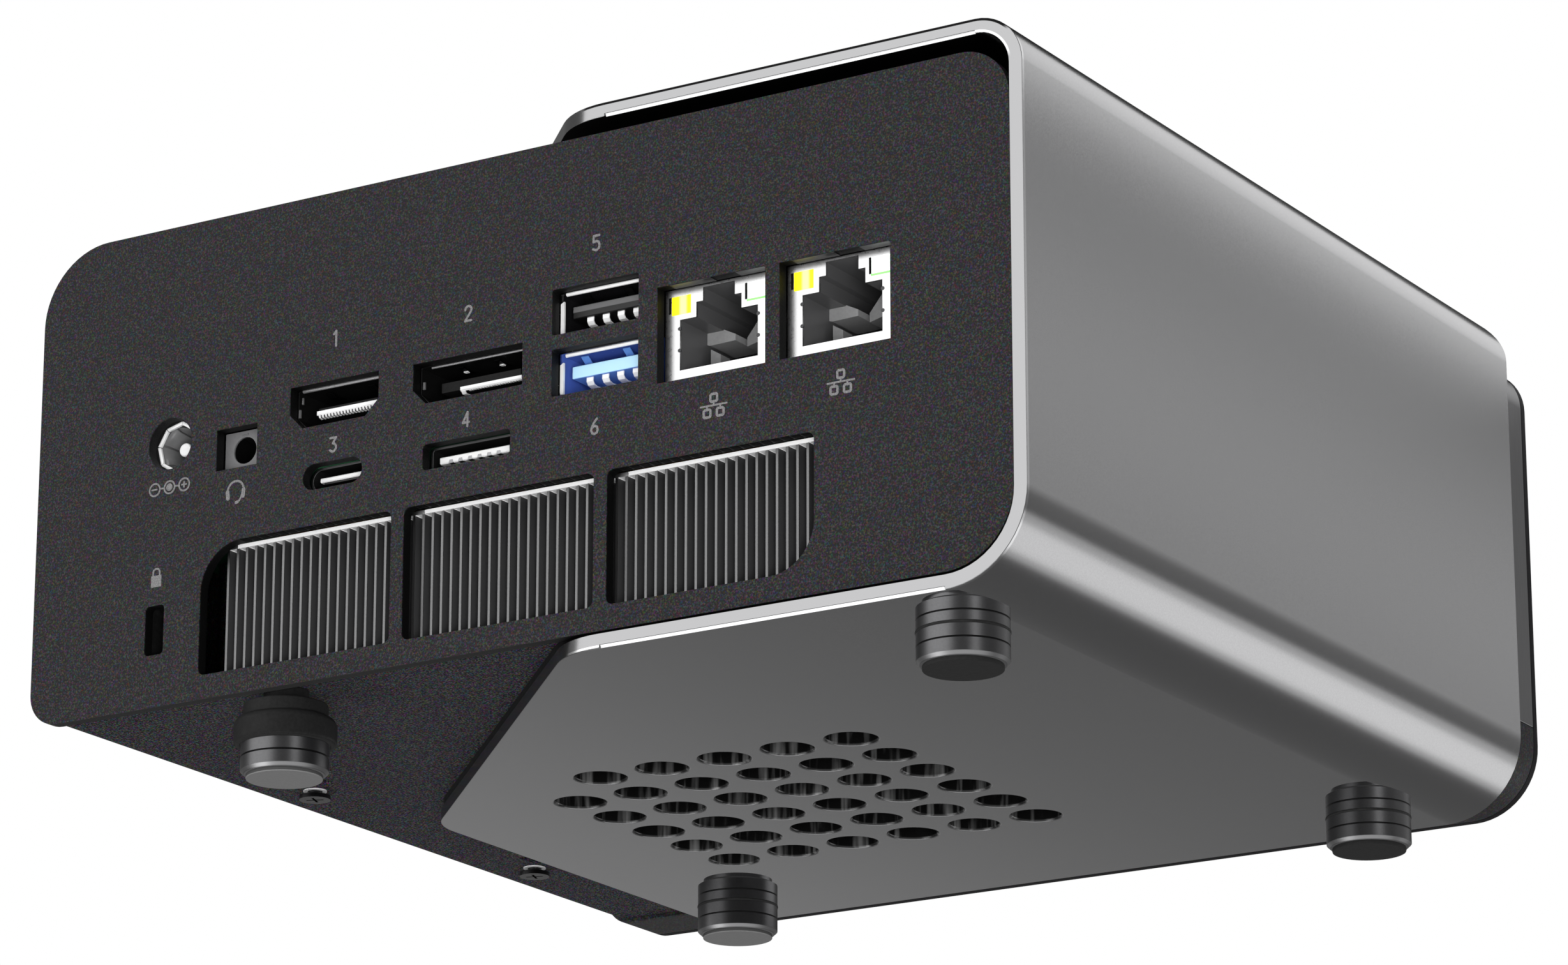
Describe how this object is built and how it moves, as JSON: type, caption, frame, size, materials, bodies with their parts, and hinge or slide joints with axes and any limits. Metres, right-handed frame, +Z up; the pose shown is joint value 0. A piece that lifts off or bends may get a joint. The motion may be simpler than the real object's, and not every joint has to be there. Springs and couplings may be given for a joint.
{
  "type": "mini pc",
  "caption": "Compact desktop computer: plastic case held in a C-shaped metal side shell, rear connector panel with exhaust windows, blower cooling and turned metal feet.",
  "frame": {"origin": "centre of the footprint on the desk, at the level of the foot pads", "axes": "+X from the metal shell's upright side to the free side, +Y from the front bezel to the rear connector panel, +Z up"},
  "size_m": [0.154, 0.1524, 0.082],
  "materials": {
    "shell_metal": "satin dark grey powder coat on sheet metal",
    "case_plastic": "finely grained dark grey moulded plastic",
    "spacer_black": "plain black plastic",
    "trim_grey": "smooth satin grey",
    "foot_metal": "turned, dark anodised",
    "pad_rubber": "matte dark grey rubber",
    "screw_steel": "plated steel",
    "bright_steel": "bright nickel plated sheet",
    "board_green": "green solder mask",
    "chip_black": "moulded black package",
    "copper": "bare copper, satin",
    "fin_aluminium": "bare stamped aluminium",
    "fan_plastic": "black fan plastic",
    "socket_black": "black connector plastic",
    "socket_blue": "blue connector plastic",
    "light_yellow": "clear yellow light guide",
    "button_grey": "satin grey cap"
  },
  "bodies": {
    "case": {"side_shell": "shell_metal", "base_spacer": "spacer_black", "case_tray": "case_plastic", "top_cover": "case_plastic", "rear_panel": "case_plastic", "front_frame": "case_plastic", "front_bezel": "case_plastic", "side_trim": "trim_grey", "feet": "foot_metal", "foot_pads": "pad_rubber", "foot_collar": "case_plastic", "base_screws": "screw_steel", "screw_washers": "bright_steel", "main_board": "board_green", "board_screws": "screw_steel", "processor": "chip_black", "cold_plate": "copper", "heat_pipes": "copper", "fin_stack": "fin_aluminium", "blower_housing": "fan_plastic", "blower_motor": "screw_steel", "memory_sockets": "socket_black", "memory_modules": "board_green", "drive_module": "board_green", "radio_card": "board_green", "coin_cell": "bright_steel", "dc_jack": "socket_black", "dc_jack_sleeve": "bright_steel", "dc_jack_pin": "bright_steel", "headset_jack": "socket_black", "video_socket": "bright_steel", "display_socket": "bright_steel", "type_c_socket": "bright_steel", "expansion_socket": "bright_steel", "type_a_shell": "bright_steel", "type_a_tongue_upper": "socket_black", "type_a_tongue_lower": "socket_blue", "video_tongues": "socket_black", "network_jack_shells": "bright_steel", "network_jack_inserts": "socket_black", "status_lights": "light_yellow", "lock_bracket": "screw_steel", "button_board": "board_green", "front_type_a": "bright_steel", "front_type_a_tongues": "socket_black", "front_type_c": "bright_steel", "front_headset_jack": "socket_black"},
    "impeller": {"blower_impeller": "fan_plastic"},
    "button": {"power_button": "button_grey"}
  },
  "joints": [
    {"name": "blower_spin", "type": "hinge", "parent": "case", "child": "impeller", "pos_m": [0.0065, -0.00535, 0.0232], "axis": [0, 0, 1], "continuous": true},
    {"name": "power_press", "type": "slide", "parent": "case", "child": "button", "axis": [0, 1, 0], "range_m": [0, 0.0008], "stiffness_N_per_m": 800}
  ]
}
